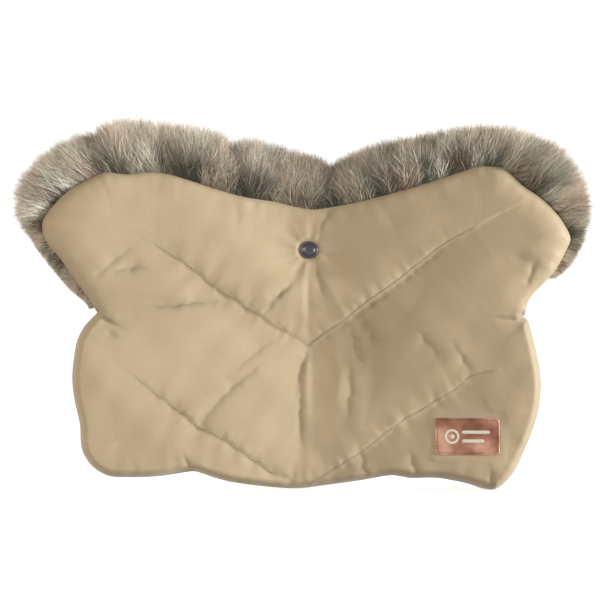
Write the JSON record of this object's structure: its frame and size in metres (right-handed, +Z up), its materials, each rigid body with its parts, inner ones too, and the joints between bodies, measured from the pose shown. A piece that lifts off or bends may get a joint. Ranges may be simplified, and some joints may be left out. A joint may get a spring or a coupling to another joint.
{
  "type": "stroller handlebar hand muff",
  "caption": "Padded hand muff that hangs over a stroller handlebar: a closed pouch with fur-trimmed front and back flaps that a snap fastener holds together above the bar.",
  "frame": {"origin": "middle of the handlebar that the muff hangs on", "axes": "+X along the handlebar, from the wearer's left hand to the right one as seen from the decorated front; -Y out of the decorated front; +Z up"},
  "size_m": [0.496, 0.0876, 0.3203],
  "materials": {
    "shell_fabric": "smooth woven polyester in warm tan, with a soft sheen",
    "padding_fill": "matt white polyester wadding",
    "lining_fleece": "short matt fleece in pale sand",
    "faux_fur": "long soft pile, cream to grey brown, darker at the roots",
    "thread": "polyester sewing thread in tan",
    "label_thread": "polyester sewing thread in brown",
    "spring_wire": "bright spring wire",
    "snap_metal": "dark gunmetal plating, half gloss",
    "snap_inner_metal": "dark gunmetal plating",
    "snap_washer_plastic": "matt black polymer",
    "seam_tape": "woven binding tape in tan",
    "care_tape": "blank satin tape in off-white",
    "label_leatherette": "rose gold metallic leatherette with a soft grain",
    "label_emblem": "pressed darker relief on the leatherette"
  },
  "bodies": {
    "pouch": {"front_shell_lower": "shell_fabric", "front_padding_lower": "padding_fill", "front_lining_lower": "lining_fleece", "back_shell_lower": "shell_fabric", "back_padding_lower": "padding_fill", "back_lining_lower": "lining_fleece", "perimeter_seam_tape": "seam_tape", "care_label": "care_tape", "label_patch": "label_leatherette", "label_emblem": "label_emblem", "label_stitching": "label_thread", "front_chevron_stitching_lower": "thread", "back_chevron_stitching_lower": "thread"},
    "front_flap": {"front_shell_upper": "shell_fabric", "front_padding_upper": "padding_fill", "front_lining_upper": "lining_fleece", "front_fur_trim": "faux_fur", "front_chevron_stitching_upper": "thread", "snap_cap": "snap_metal", "front_snap_washer": "snap_washer_plastic", "snap_socket": "snap_inner_metal", "snap_socket_spring": "spring_wire"},
    "back_flap": {"back_shell_upper": "shell_fabric", "back_padding_upper": "padding_fill", "back_lining_upper": "lining_fleece", "back_fur_trim": "faux_fur", "back_chevron_stitching_upper": "thread", "snap_stud": "snap_inner_metal", "back_snap_washer": "snap_washer_plastic", "snap_back_rivet": "snap_metal"}
  },
  "joints": [
    {"name": "front_flap_open", "type": "hinge", "parent": "pouch", "child": "front_flap", "pos_m": [0, -0.0315, -0.019], "axis": [1, 0, 0], "range_deg": [0, 60]},
    {"name": "back_flap_open", "type": "hinge", "parent": "pouch", "child": "back_flap", "pos_m": [0, 0.0315, -0.019], "axis": [-1, 0, 0], "range_deg": [0, 60]}
  ]
}
